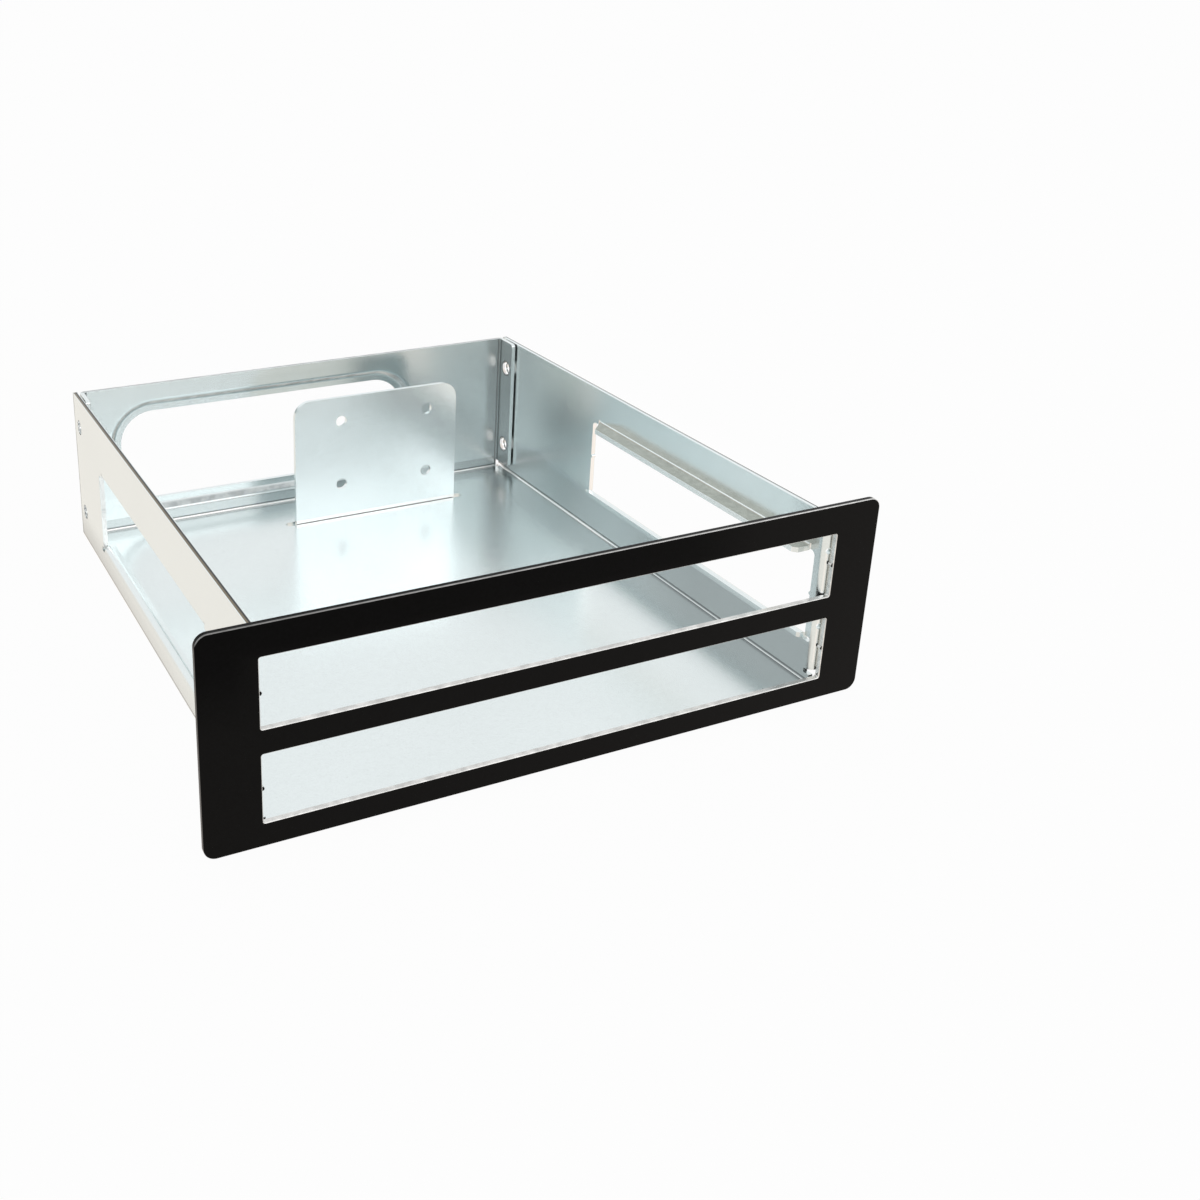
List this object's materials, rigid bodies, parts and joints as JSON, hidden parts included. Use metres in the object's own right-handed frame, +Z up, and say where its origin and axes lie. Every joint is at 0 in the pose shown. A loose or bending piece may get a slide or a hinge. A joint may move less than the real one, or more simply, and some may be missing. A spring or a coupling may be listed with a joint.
{
  "type": "optical drive mounting bracket",
  "caption": "Open sheet-metal tray that holds slim optical drives one above the other behind a gloss black slotted front plate, with an upright screw plate at the rear.",
  "frame": {"origin": "under the middle of the bounding box, level with the front plate's bottom edge", "axes": "+X to the right as seen from the front, +Y to the rear, +Z up; the front plate faces -Y"},
  "size_m": [0.155, 0.1482, 0.0475],
  "materials": {
    "gloss_black_plate": "gloss black lacquer",
    "galvanised_sheet": "galvanised with a fine spangle, semi-gloss",
    "galvanised_plate": "galvanised with a fine spangle, semi-gloss",
    "adhesive_tape": "thin cream double-sided tape"
  },
  "bodies": {
    "root": {"bezel": "gloss_black_plate", "tray": "galvanised_sheet", "upright_bracket": "galvanised_plate", "bezel_tape_left": "adhesive_tape", "bezel_tape_right": "adhesive_tape"}
  },
  "joints": []
}
